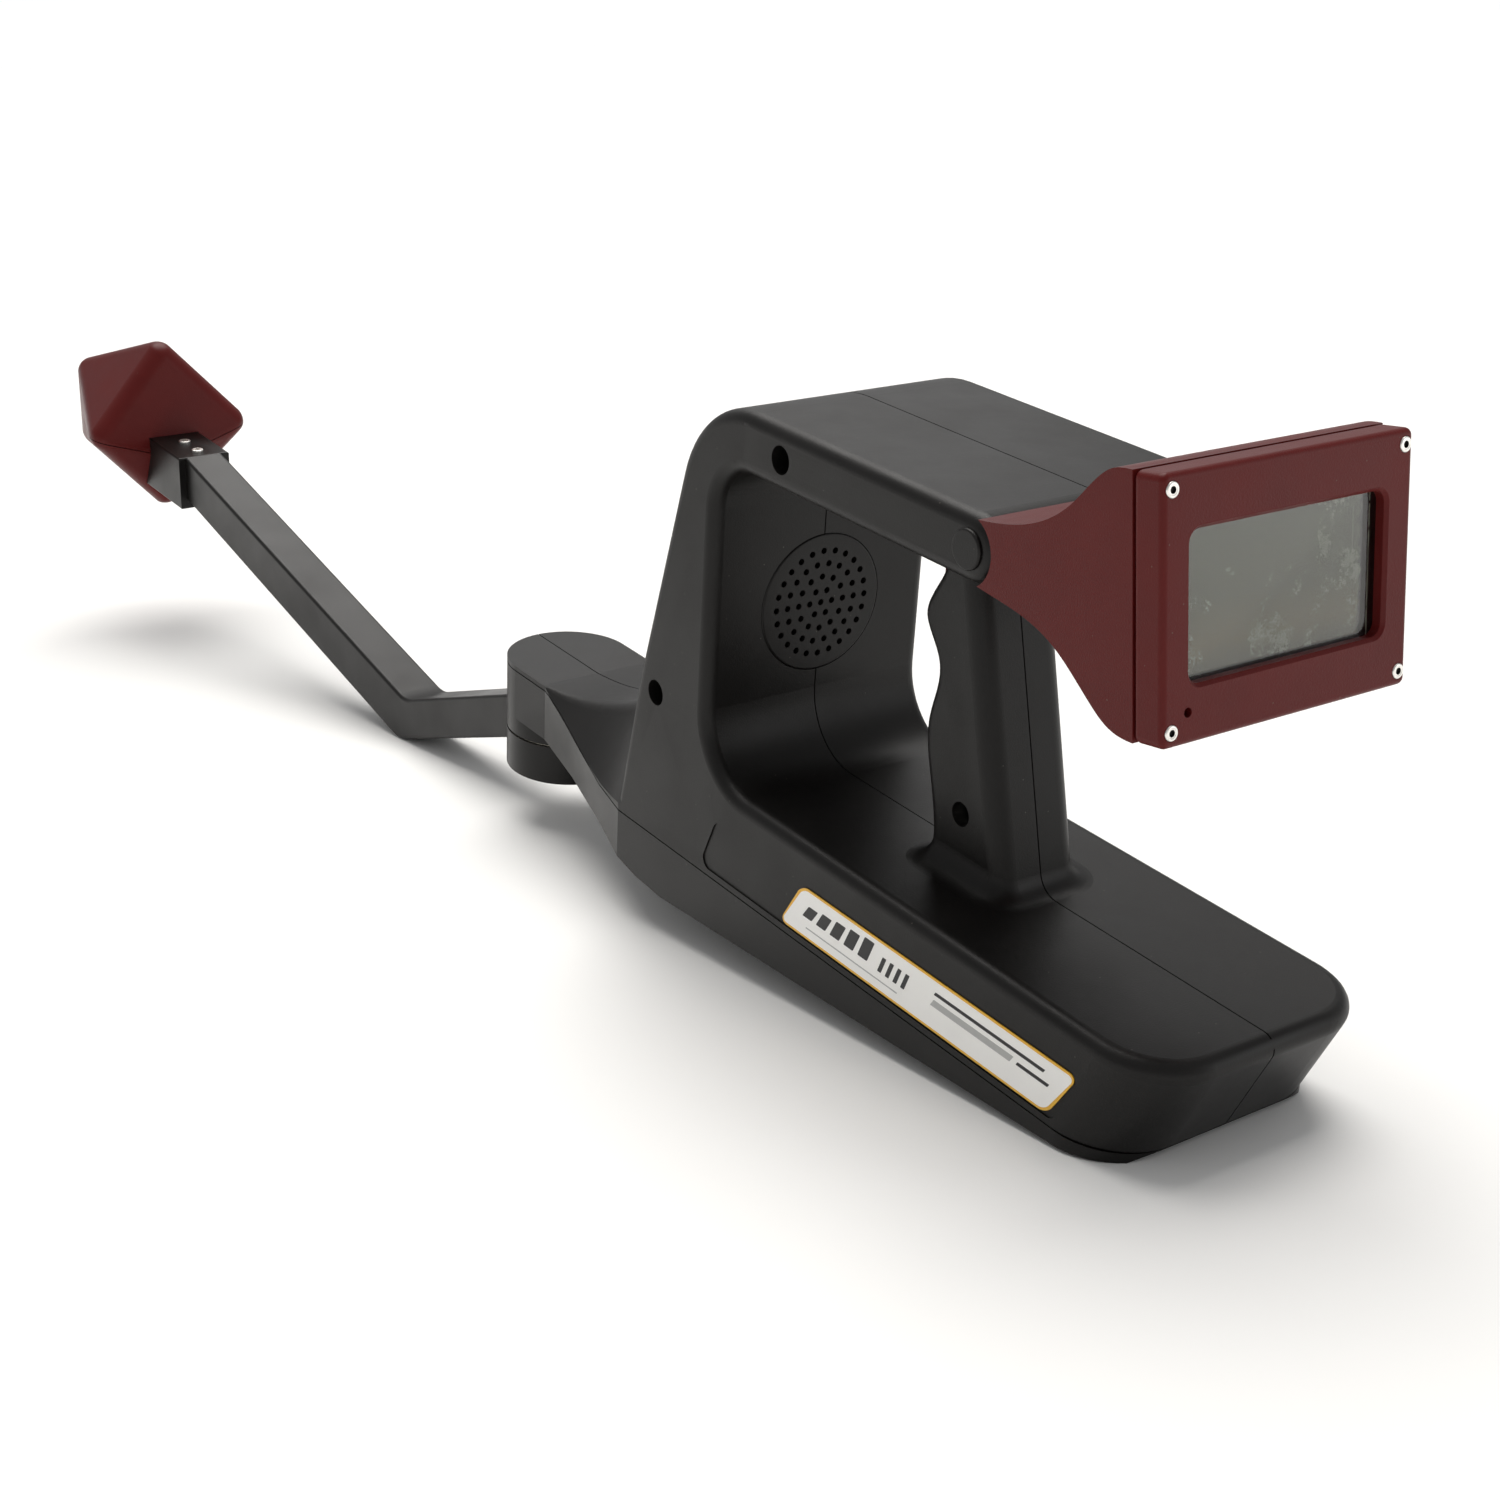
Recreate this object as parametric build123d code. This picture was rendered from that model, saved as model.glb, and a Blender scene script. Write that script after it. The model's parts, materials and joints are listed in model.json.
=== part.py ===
from build123d import *
import math
import os

# Hand-held line locator: hull with grip and trigger, tilting display head, and a swivelling
# antenna arm with a coil pod. Millimetres. Working frame: X right, Y forward, Z up, with
# z = 0 on the seam between the upper shells and the bottom cover. Every part is turned to
# the resting stance as it is written.

# ---- driving sizes ----
body_width = 100.0
wall = 3.0
fit_gap = 0.3
running_clearance = 0.05
seat_gap = 0.02
seam_gap = 0.5
seam_depth = 1.2
side_round = 5.0

deck_height = 39.0
rear_seam_y = -51.0
rear_bulge = 16.5
rear_corner_round = 25.0
top_height = 182.6
bar_depth = 22.4
front_foot_y = 235.0
front_lean = 0.255
front_bow = 2.6
upright_inner_y = 175.0
bar_front_round = 43.0

boss_y = 354.0
boss_radius = 27.7
boss_top = 12.4
boss_bottom = -20.2
lid_thickness = 2.4
neck_underside = -12.6

cover_rear_z = -3.5
cover_front_y = 200.0
cover_front_z = -24.0

grip_width = 35.0
grip_depth = 37.0
grip_rake = 0.27
grip_rear_y = 42.0
grip_foot_round = 9.0

trigger_width = 16.0
trigger_swing = 7.0

speaker_height = 99.0
grille_radius = 26.7
grille_thickness = 2.6
grille_rings = 4
grille_pitch = 5.05
grille_hole_radius = 1.25

pivot_y = 40.0
pivot_radius = 3.0
knuckle_radius = 7.5
knuckle_length = 33.0
washer_thickness = 1.5
cap_radius = 6.6
cap_proud = 1.2

face_width = 102.0
face_height = 78.0
face_y = -43.0
face_z = 178.9
face_lean = 9.8
bezel_depth = 11.5
window_width = 80.0
window_height = 44.0
window_thickness = 2.0
head_screw_x = 47.4
head_screw_up = 34.3
bezel_round = 2.5
window_lip = 1.1
sensor_x = -41.0
sensor_up = -29.5

label_length = 155.0
label_height = 19.5
label_front_y = 122.0

arm_width = 23.0
arm_wall = 2.5
arm_root_height = 20.3
arm_long_height = 26.0
arm_drop = 22.3
arm_rise = 9.7
elbow_reach = 140.6
elbow_round = 24.0
swivel_radius = 5.0

clamp_reach = 418.0
clamp_length = 58.0
clamp_width = 31.0
clamp_height = 31.0
clamp_cheek = 3.2
tongue_length = 20.0

pod_reach = 464.0
pod_width = 102.0
pod_height = 110.0
pod_length = 91.0
pod_front_width = 50.0
pod_front_height = 49.0
pod_rear_lean = 0.145
pod_parting_dip = 16.0
pod_centre_z = -12.0
pod_wall = 3.0
pod_round = 10.0
coil_step = 3.6
coil_inner = 14.0

# ---- derived sizes ----
half = body_width / 2
pivot_z = top_height - bar_depth / 2
bar_underside = top_height - bar_depth
bar_end_radius = bar_depth / 2
head_gap = 0.5
slot_half = knuckle_length / 2 + washer_thickness + running_clearance + seat_gap
cover_slope = (cover_front_z - cover_rear_z) / (cover_front_y - rear_seam_y - 4)
hub_top = boss_bottom - 1.0 - running_clearance
hub_bottom = hub_top - 17.5
arm_root_top = boss_bottom + 5.0
drop_slope = math.tan(math.radians(arm_drop))
rise_slope = math.tan(math.radians(arm_rise))
elbow_top = arm_root_top - (elbow_reach - boss_radius) * drop_slope
root_depth = arm_root_height / math.cos(math.radians(arm_drop))
long_depth = arm_long_height / math.cos(math.radians(arm_rise))
bottom_reach = elbow_reach + (long_depth - root_depth) / (drop_slope + rise_slope)
elbow_bottom = elbow_top - (bottom_reach - elbow_reach) * drop_slope - root_depth
face_plane = Plane(
    origin=(0, face_y, face_z),
    x_dir=(1, 0, 0),
    z_dir=(0, -math.cos(math.radians(face_lean)), math.sin(math.radians(face_lean))),
)
clamp_top = elbow_top + (clamp_reach - elbow_reach) * rise_slope
tongue_top = clamp_top - clamp_cheek
tongue_bottom = clamp_top - clamp_height + clamp_cheek


# ---- resting stance ----
rest_y = rear_seam_y + 4.0
rest_z = cover_rear_z
elbow_y = boss_y + bottom_reach
bend = math.radians(arm_drop + arm_rise)
centre_lift = elbow_round / math.cos(bend / 2)
centre_turn = math.radians(arm_rise - arm_drop) / 2
elbow_centre_y = elbow_y - centre_lift * math.sin(centre_turn)
elbow_centre_z = elbow_bottom + centre_lift * math.cos(centre_turn)
rest_run = elbow_centre_y - rest_y
rest_fall = rest_z - elbow_centre_z
stance = math.degrees(math.atan2(rest_fall, rest_run))
stance = stance + math.degrees(math.asin(elbow_round / math.hypot(rest_run, rest_fall)))


# ---- small helpers ----
def profile(points):
    return Plane.YZ * make_face(Polyline(*points, close=True))


def slab(face, width, centre=0.0):
    return Pos(centre, 0, 0) * extrude(face, amount=width / 2, both=True)


def side_solid(points, width, centre=0.0):
    return slab(profile(points), width, centre)


def box(x0, x1, y0, y1, z0, z1):
    return Pos((x0 + x1) / 2, (y0 + y1) / 2, (z0 + z1) / 2) * Box(x1 - x0, y1 - y0, z1 - z0)


def rod_x(radius, x0, x1, y, z):
    return Pos((x0 + x1) / 2, y, z) * Rot(0, 90, 0) * Cylinder(radius, x1 - x0)


def rod_y(radius, y0, y1, x, z):
    return Pos(x, (y0 + y1) / 2, z) * Rot(90, 0, 0) * Cylinder(radius, y1 - y0)


def rod_z(radius, z0, z1, x, y):
    return Pos(x, y, (z0 + z1) / 2) * Cylinder(radius, z1 - z0)


def near(sketch, y, z):
    return sketch.vertices().sort_by_distance((y, z, 0))[0]


def cover_bottom(y):
    return cover_rear_z + cover_slope * (y - rear_seam_y - 4)


def cover_floor(y):
    return cover_bottom(y) + wall


def grip_back(z):
    return grip_rear_y + grip_rake * (z - deck_height)


# ---- hull outside and inside ----
def c_sketch(inset):
    top = top_height - inset
    under = bar_underside + inset
    inner = upright_inner_y + inset
    deck = deck_height - inset
    foot = front_foot_y - inset * 1.03
    brow = foot - front_lean * top
    rear = rear_seam_y + inset
    end = pivot_y - bar_end_radius
    points = [
        (rear, 0),
        (rear - rear_bulge * deck / deck_height, deck),
        (inner, deck),
        (inner, under),
        (end, under),
        (end, top),
        (brow, top),
        (foot - front_lean * 62 + front_bow, 62),
        (foot, 0),
    ]
    sketch = make_face(Polyline(*points, close=True))
    sketch = fillet(near(sketch, foot - front_lean * 62 + front_bow, 62), 260)
    if inset == 0:
        sketch = fillet(near(sketch, end, top), bar_end_radius - 0.02)
        sketch = fillet(near(sketch, end, under), bar_end_radius - 0.02)
    sketch = fillet(near(sketch, brow, top), bar_front_round - inset)
    sketch = fillet(near(sketch, inner, deck), 26 + inset)
    sketch = fillet(near(sketch, inner, under), 18 + inset)
    return sketch


def c_block(inset):
    return extrude(Plane.YZ * c_sketch(inset), amount=half - inset, both=True)


def c_body():
    solid = c_block(0)
    low = solid.edges().filter_by(lambda e: e.center().Y < rear_seam_y - 1)
    low = low.filter_by(lambda e: abs(abs(e.center().X) - half) < 0.01)
    low = low.filter_by(lambda e: e.center().Z < deck_height * 0.6)
    solid = fillet(low, rear_corner_round)
    side = solid.edges().filter_by(lambda e: abs(abs(e.center().X) - half) < 0.01)
    side = side.filter_by(lambda e: abs(e.center().Z - deck_height) < 0.1 and e.length > 100)
    rear = solid.edges().filter_by(lambda e: abs(e.center().Z - deck_height) < 0.1)
    rear = rear.filter_by(lambda e: e.center().Y < rear_seam_y + rear_corner_round / 2)
    return fillet(side + rear, side_round)


def rear_corner_cut():
    zone = box(-60, 60, rear_seam_y - 40, rear_seam_y + rear_corner_round + 4, -1, deck_height + 4)
    return zone - plan_prism(wall)


def c_cavity():
    pivot_cut = box(-60, 60, 0, pivot_y + 12, bar_underside - 5, top_height + 5)
    return c_block(wall) - rear_corner_cut() - pivot_cut


def grip_outline(inset):
    z0 = deck_height - 6
    z1 = bar_underside + 6
    back = [(grip_back(z0) + inset, z0), (grip_back(z1) + inset, z1)]
    front = [
        (grip_back(z1) + 22 - inset, z1),
        (grip_back(140) + 21 - inset, 140),
        (grip_back(125) + 31 - inset, 125),
        (grip_back(111) + 26.5 - inset, 111),
        (grip_back(90) + 34.5 - inset, 90),
        (grip_back(62) + grip_depth - inset, 62),
        (grip_back(z0) + grip_depth + 5 - inset, z0),
    ]
    curve = Spline(*front)
    line = Polyline(front[-1], back[0], back[1], front[0])
    return make_face(curve + line)


def grip_body(inset):
    solid = extrude(Plane.YZ * grip_outline(inset), amount=grip_width / 2 - inset, both=True)
    if inset == 0:
        long_edges = solid.edges().filter_by(lambda e: e.length > 60)
        solid = fillet(long_edges.sort_by(Axis.Y)[:2], 7)
        front_edges = solid.edges().filter_by(GeomType.BSPLINE).filter_by(lambda e: e.length > 100)
        solid = fillet(front_edges, 4)
    return solid


def seam_height(y):
    share = (y - 255) / 67
    return (boss_top - lid_thickness) * min(1, max(0, share))


def plan_half(y):
    share = (y - 232) / 96
    return half - (half - boss_radius) * min(1, max(0, share))


def neck_section(y, crown_half, crown_z, corner):
    low_half = plan_half(y) + 3
    low_z = seam_height(y) - 4
    points = [(-low_half, low_z), (low_half, low_z), (crown_half, crown_z), (-crown_half, crown_z)]
    sketch = make_face(Polyline(*points, close=True))
    crown = sketch.vertices().sort_by(Axis.Y)[-2:]
    return Plane.XZ.offset(-y) * fillet(crown, corner)


def neck_top():
    sections = [
        neck_section(222, 30, 72, 16),
        neck_section(236, 27.5, 52, 15),
        neck_section(250, 26, 38, 13),
        neck_section(270, 25.5, 26.5, 10),
        neck_section(295, 26, 18, 7),
        neck_section(315, 27, 14, 4),
        neck_section(330, boss_radius - 0.2, boss_top, 1),
    ]
    return loft(sections) & plan_prism(0)


def boss_plate(low, high):
    plate = rod_z(boss_radius, low, high, 0, boss_y)
    return plate + box(-boss_radius, boss_radius, 327, boss_y, low, high)


def plan_prism(inset):
    side = half - inset
    nose = boss_radius - inset
    rear = rear_seam_y + inset
    points = [(-side, rear), (-side, 232), (-nose, 328), (-nose, boss_y)]
    mirrored = [(-x, y) for x, y in reversed(points)]
    sketch = make_face(Polyline(*points, *mirrored, close=True))
    sketch = fillet(sketch.vertices().sort_by(Axis.Y)[:2], rear_corner_round - inset)
    return Pos(0, 0, -60) * extrude(sketch, amount=120)


def cover_outside():
    points = [
        (rear_seam_y, 0),
        (rear_seam_y + 4, cover_rear_z),
        (cover_front_y, cover_front_z),
        (218, cover_front_z + 1),
        (256, -16),
        (290, neck_underside),
        (boss_y, neck_underside),
        (boss_y, boss_top - lid_thickness),
        (322, boss_top - lid_thickness),
        (255, 0),
    ]
    solid = side_solid(points, body_width) & plan_prism(0)
    return solid + rod_z(boss_radius, boss_bottom, boss_top - lid_thickness, 0, boss_y)


def cover_cavity():
    points = [
        (-36, 1),
        (-36, cover_floor(-36)),
        (cover_front_y - 2, cover_floor(cover_front_y - 2)),
        (216, cover_front_z + 1 + wall),
        (254, -16 + wall),
        (288, neck_underside + wall),
        (324, neck_underside + wall),
        (324, 9),
        (300, 11),
        (270, 17),
        (232, 33),
        (205, 36),
        (205, 1),
    ]
    hollow = side_solid(points, 52)
    tray = side_solid(points[:6] + [(254, 1)], body_width) & plan_prism(wall)
    ring = rod_z(boss_radius - wall, boss_bottom + 6, boss_top - lid_thickness, 0, boss_y)
    ring = ring - rod_z(swivel_radius + 5, boss_bottom, 3, 0, boss_y)
    link = box(-12, 12, 320, boss_y - 9, neck_underside + wall, 9)
    return hollow + tray + ring + link


def label_shape(grow, thickness, x):
    low = 3.8 - grow
    high = 3.8 + label_height + grow
    slant = 11.5
    front = label_front_y + grow
    rear = label_front_y - label_length - grow
    points = [(front, low), (front - slant, high), (rear, high), (rear + slant, low)]
    sketch = make_face(Polyline(*points, close=True))
    sketch = fillet(sketch.vertices(), 4)
    return Pos(x, 0, 0) * extrude(Plane.YZ * sketch, amount=thickness)


def recess_shape(thickness, x):
    low = 2.9
    high = 24.4
    rear = label_front_y - label_length - 2
    points = [(174, low), (165, high), (rear, high), (rear + 11, low)]
    sketch = make_face(Polyline(*points, close=True))
    sketch = fillet(sketch.vertices(), 4)
    return Pos(x, 0, 0) * extrude(Plane.YZ * sketch, amount=thickness)


housing_screw_spots = [(137.5, 171.4, 5.0), (208.0, 60.0, 5.0), (67.5, 62.0, 4.4)]
cover_screw_spots = [(-40, -20), (40, -20), (-40, 160), (40, 160)]


def housing_post(spot, side):
    y, z, bore = spot
    length = half - 1 if y > 80 else grip_width / 2 - 1
    radius = bore + 2
    if side > 0 and z > bar_underside:
        length = 20
        radius = bar_depth / 2 - wall + 0.4
    return rod_x(radius, min(0, side * length), max(0, side * length), y, z)


def housing_bores(spot):
    y, z, bore = spot
    seat = -12 if y > 80 else -8
    shaft = 2.0 if y > 80 else 1.5
    reach = 12 if y > 80 else 9
    return rod_x(bore, -60, seat, y, z) + rod_x(shaft + seat_gap, seat, reach + 0.5, y, z)


def hinge_slot():
    slot = rod_x(knuckle_radius + 0.5, -slot_half, slot_half, pivot_y, pivot_z)
    mouth = box(-slot_half, slot_half, pivot_y - 20, pivot_y, pivot_z - 8.8, pivot_z + 8.8)
    bolt = rod_x(pivot_radius + seat_gap, -half - 1, half + 1, pivot_y, pivot_z)
    caps = rod_x(cap_radius + seat_gap, half - 2, half + 2, pivot_y, pivot_z)
    caps = caps + rod_x(cap_radius + seat_gap, -half - 2, -half + 2, pivot_y, pivot_z)
    return slot + mouth + bolt + caps


def grip_foot_edges(solid):
    foot = solid.edges().filter_by(lambda e: abs(e.center().Z - deck_height) < 0.05)
    foot = foot.filter_by(lambda e: abs(e.center().X) < grip_width / 2 + 0.1)
    return foot.filter_by(lambda e: grip_rear_y - 2 < e.center().Y < grip_rear_y + grip_depth + 12)


def below_seam(lift):
    lid = boss_top - lid_thickness + lift
    return side_solid([(-80, -60), (-80, lift), (255, lift), (322, lid), (400, lid), (400, -60)], 130)


def parting_groove():
    gap = seam_gap / 2
    groove = box(-gap, gap, -80, boss_y + boss_radius + 1, -1, top_height + 1)
    middle = extrude(Plane.YZ * c_sketch(seam_depth), amount=2, both=True)
    stem = extrude(Plane.YZ * grip_outline(seam_depth), amount=2, both=True)
    nose = box(-2, 2, upright_inner_y + 10, 330, -1, boss_top - seam_depth)
    return groove - middle - stem - nose


def upper_shell_pair():
    cavity = c_cavity() + grip_body(wall) + cover_cavity()
    solid = c_body() + grip_body(0)
    solid = fillet(grip_foot_edges(solid), grip_foot_round)
    solid = solid + neck_top() + boss_plate(boss_top - lid_thickness, boss_top)
    solid = solid - below_seam(0) - (below_seam(seam_gap) - plan_prism(seam_depth)) - cavity
    solid = solid - parting_groove()
    speaker_hole = rod_y(grille_radius + 0.15, upright_inner_y - 5, upright_inner_y + 8, 0, speaker_height)
    solid = solid - speaker_hole
    rest = box(-6, 6, grip_back(132) + 1, grip_back(132) + 8, 124, 152)
    rest = rest & grip_body(wall - 0.5)
    for spot in housing_screw_spots:
        solid = solid + housing_post(spot, 1) + housing_post(spot, -1)
    for x, y in cover_screw_spots:
        post = rod_z(5, 0, deck_height + 10, x, y)
        solid = solid + (post & c_cavity())
    solid = solid + rest
    for spot in housing_screw_spots:
        solid = solid - housing_bores(spot)
    for x, y in cover_screw_spots:
        solid = solid - rod_z(1.75 + seat_gap, -1, 12.5, x, y)
    trigger_slot = box(-trigger_width / 2 - fit_gap, trigger_width / 2 + fit_gap, 83, 110, 117, 158)
    pin = rod_x(1.5 + seat_gap, -13, 13, 90, 152)
    solid = solid - trigger_slot - pin - hinge_slot()
    solid = solid - recess_shape(0.5, -half) - recess_shape(0.5, half - 0.5)
    return solid


def bottom_cover():
    solid = cover_outside() - cover_cavity()
    for x, y in cover_screw_spots:
        solid = solid + (rod_z(6, cover_floor(y) - 1, 0, x, y) & cover_outside())
    for x, y in board_posts():
        solid = solid + rod_z(3, cover_floor(y) - 1, board_z, x, y)
    for x, y in cover_screw_spots:
        solid = solid - rod_z(3.8, -40, -3, x, y) - rod_z(1.75 + seat_gap, -4, 1, x, y)
    opening = side_solid([(-36, -20), (-36, 5), (74, 5), (74, -20)], 64)
    recess = door_shape(fit_gap, 0)
    solid = solid - opening - recess
    for x in (-24, 24):
        solid = solid + rod_z(3.2, cover_floor(81) - 0.5, cover_floor(81) + 5, x, 81)
        solid = solid - rod_z(1.5 + seat_gap, cover_bottom(81) - 1, cover_floor(81) + 4, x, 81)
    bolt = rod_z(swivel_radius + seat_gap, boss_bottom - 1, boss_top, 0, boss_y)
    return solid - bolt


def door_shape(grow, lift):
    front = 88 + grow
    rear = -41 - grow
    points = [
        (rear, cover_bottom(rear) - 4 * (grow > 0)),
        (front, cover_bottom(front) - 4 * (grow > 0)),
        (front, cover_bottom(front) + 1.6),
        (rear, cover_bottom(rear) + 1.6),
    ]
    return side_solid(points, 68 + 2 * grow)


def battery_door():
    door = door_shape(0, 0)
    for x in (-24, 24):
        door = door - rod_z(1.5 + seat_gap, -40, 10, x, 81)
        door = door - rod_z(2.8 + seat_gap, -40, cover_bottom(81) + seat_gap, x, 81)
    return door


def door_screws():
    group = []
    for x in (-24, 24):
        base = cover_bottom(81)
        screw = rod_z(2.8, base - 1.0, base, x, 81) + rod_z(1.5, base - 0.5, base + 6, x, 81)
        group.append(screw)
    return Compound(children=group)


def housing_screws():
    group = []
    for y, z, bore in housing_screw_spots:
        seat = -12 if y > 80 else -8
        shaft = 2.0 if y > 80 else 1.5
        reach = 12 if y > 80 else 9
        head = rod_x(bore - 1, seat - 3.5, seat, y, z) - rod_x(1.3, seat - 3.5, seat - 1.5, y, z)
        group.append(head + rod_x(shaft, seat, reach, y, z))
    return Compound(children=group)


def cover_screws():
    group = []
    for x, y in cover_screw_spots:
        head = rod_z(3.5, -5, -3, x, y) - rod_z(1.2, -5, -4, x, y)
        group.append(head + rod_z(1.75, -3, 12, x, y))
    return Compound(children=group)


# ---- inside the hull ----
cell_radius = 13.1
cell_length = 50.0
cell_x = 14.3
cell_z = 16.0
cell_rows = (-34.0, 18.0)
board_z = -5.0


def battery_tray():
    points = [(-35.7, cover_floor(-35.7)), (73.7, cover_floor(73.7)), (73.7, 18), (-35.7, 18)]
    body = side_solid(points, 62)
    body = body - box(-28.6, 28.6, cell_rows[0] - 1.05, cell_rows[1] + cell_length + 1.05, cell_z, 40)
    for x in (-cell_x, cell_x):
        body = body - rod_y(cell_radius + 0.1, cell_rows[0] - 1.05, cell_rows[1] + cell_length + 1.05, x, cell_z)
    divider = box(-28.6, 28.6, 16.4, 17.6, 3, 18)
    return body + divider


def battery_cells():
    group = []
    for y in cell_rows:
        for x in (-cell_x, cell_x):
            cell = rod_y(cell_radius, y, y + cell_length - 1.6, x, cell_z)
            cap = rod_y(3, y + cell_length - 1.6, y + cell_length - 0.4, x, cell_z)
            group.append(cell + cap)
    return Compound(children=group)


def battery_contacts():
    group = []
    for x in (-cell_x, cell_x):
        group.append(box(x - 5, x + 5, cell_rows[0] - 1, cell_rows[0], cell_z - 5, cell_z + 5))
        end = cell_rows[1] + cell_length
        group.append(box(x - 5, x + 5, end - 0.4, end + 1, cell_z - 5, cell_z + 5))
    return Compound(children=group)


def board_posts():
    return [(-27, 104), (27, 104), (-27, 176), (27, 176)]


def main_board():
    board = box(-32, 32, 98, 182, board_z, board_z + 1.6)
    for x, y, w, d, h in [(0, 150, 22, 22, 2.5), (-20, 120, 12, 9, 2), (18, 118, 16, 8, 3),
                          (-24, 160, 8, 8, 9), (26, 160, 12, 6, 8), (0, 105, 26, 5, 8)]:
        board = board + box(x - w / 2, x + w / 2, y - d / 2, y + d / 2, board_z + 1.6, board_z + 1.6 + h)
    for x, y in board_posts():
        board = board - rod_z(1.6, board_z - 1, board_z + 3, x, y)
    return board


def speaker_grille():
    front = upright_inner_y - 0.3
    disc = rod_y(grille_radius, front, front + grille_thickness, 0, speaker_height)
    rim = disc.edges().filter_by(GeomType.CIRCLE).sort_by(Axis.Y)[0]
    disc = fillet(rim, 0.8)
    holes = [rod_y(grille_hole_radius, front - 1, front + 4, 0, speaker_height)]
    for ring in range(1, grille_rings + 1):
        for step in range(6 * ring):
            turn = 2 * math.pi * step / (6 * ring)
            x = ring * grille_pitch * math.cos(turn)
            z = speaker_height + ring * grille_pitch * math.sin(turn)
            holes.append(rod_y(grille_hole_radius, front - 1, front + 4, x, z))
    return disc - holes


def speaker():
    y0 = upright_inner_y - 0.3 + grille_thickness
    flange = rod_y(26.4, y0, y0 + 3, 0, speaker_height) - rod_y(22, y0 - 1, y0 + 2, 0, speaker_height)
    cone = Pos(0, y0 + 8, speaker_height) * Rot(-90, 0, 0) * Cone(23, 13, 10)
    magnet = rod_y(13, y0 + 12, y0 + 22, 0, speaker_height)
    return flange + cone + magnet


def side_label():
    return label_shape(0, 0.5, -half)


def hull_cable():
    run = upright_inner_y + 15
    path = FilletPolyline(
        (0, run, 0), (0, run, 40), (24, run, 66), (33, run, 100), (33, run - 3, pivot_z - 33),
        (33, upright_inner_y - 5, pivot_z), (33, 57, pivot_z), radius=9,
    )
    start = Plane(origin=(0, run, 0), z_dir=(0, 0, 1))
    return sweep(start * Circle(2.2), path=path)


# ---- trigger ----
def trigger():
    points = [(85, 155), (91.5, 156.4), (94, 154), (97.5, 142), (97, 130), (92, 121), (88, 122), (85.5, 138)]
    body = side_solid(points, trigger_width)
    return body - rod_x(1.5 + running_clearance, -20, 20, 90, 152)


def trigger_pin():
    return rod_x(1.5, -12.8, 12.8, 90, 152)


def trigger_switch():
    back = grip_back(132) + 8
    body = box(-5, 5, back, back + 4.4, 125, 137)
    return body + box(-1.5, 1.5, back + 4.4, back + 5.6, 129, 132)


def trigger_spring():
    back = grip_back(132) + 8
    coil = Helix(pitch=1.6, height=85.3 - back - 1.2, radius=2.4)
    path = Pos(0, back + 0.6, 145) * Rot(-90, 0, 0) * coil
    start = Plane(origin=path @ 0, z_dir=path % 0)
    return sweep(start * Circle(0.45), path=path)


# ---- display head ----
def on_face(x, up, depth):
    return face_plane * Pos(x, up, depth)


def head_outline():
    r = bar_end_radius + head_gap
    a = math.radians(112)
    b = math.radians(236)
    start = (pivot_y + r * math.cos(a), pivot_z + r * math.sin(a))
    middle = (pivot_y - r, pivot_z)
    end = (pivot_y + r * math.cos(b), pivot_z + r * math.sin(b))
    lean = math.radians(face_lean)
    up = face_height / 2
    inset = bezel_depth
    top = (face_y + up * math.sin(lean) + inset, face_z + up * math.cos(lean) - inset * 0.17)
    low = (face_y - up * math.sin(lean) + inset, face_z - up * math.cos(lean) - inset * 0.17)
    upper = Spline(start, (-3, 199), (-17, 213.5), top, tangents=[(-1, 0.15), (-1, 0.1)])
    lower = Spline(end, (-1, 155.5), (-22, 142), low, tangents=[(-1, -0.1), (-1, 0.12)])
    back = ThreePointArc(start, middle, end)
    front = Line(top, low)
    return make_face(upper + front + lower + back)


def head_body():
    solid = extrude(Plane.YZ * head_outline(), amount=face_width / 2, both=True)
    knuckle = rod_x(knuckle_radius, -knuckle_length / 2, knuckle_length / 2, pivot_y, pivot_z)
    web = box(-knuckle_length / 2, knuckle_length / 2, pivot_y - 16, pivot_y, pivot_z - 3.5, pivot_z + 3.5)
    solid = solid + knuckle + web
    full = solid
    pocket = on_face(0, 0, -bezel_depth - 12) * Box(90, 66, 24)
    throat = box(-30, 30, -20, 12, pivot_z - 8, pivot_z + 12)
    solid = solid - pocket - throat
    for x, up in head_screw_spots():
        post = on_face(x, up, -bezel_depth - 7) * Cylinder(4, 14)
        solid = solid + (post & full) - screw_bore(x, up)
    return solid - rod_x(pivot_radius + running_clearance, -60, 60, pivot_y, pivot_z)


def head_screw_spots():
    return [(sx * head_screw_x, sz * head_screw_up) for sx in (-1, 1) for sz in (-1, 1)]


def screw_bore(x, up):
    return on_face(x, up, -bezel_depth) * Cylinder(1.5 + seat_gap, 22)


def display_bezel():
    plate = on_face(0, 0, -bezel_depth / 2) * Box(face_width, face_height, bezel_depth)
    corners = plate.edges().filter_by(lambda e: abs(e.length - bezel_depth) < 0.01)
    plate = fillet(corners, bezel_round)
    front = plate.faces().sort_by(Axis.Y)[0].edges()
    plate = fillet(front, bezel_round - 0.6)
    opening = on_face(0, 0, -bezel_depth / 2)
    hole = extrude(Plane(opening) * RectangleRounded(window_width, window_height, 4), amount=20, both=True)
    seat = on_face(0, 0, -bezel_depth) * Box(window_width + 6, window_height + 6, 2 * (bezel_depth - 4))
    plate = plate - hole - seat
    pierced = plate.faces().filter_by(lambda f: len(f.inner_wires()) == 1)
    lip = pierced.sort_by(Axis.Y)[0].inner_wires()[0].edges()
    plate = chamfer(lip, window_lip)
    plate = plate - (on_face(sensor_x, sensor_up, 0) * Cylinder(1.5, 8))
    for x, up in head_screw_spots():
        plate = plate - (on_face(x, up, 0) * Cylinder(2.5, 2.0)) - screw_bore(x, up)
    return plate


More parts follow.
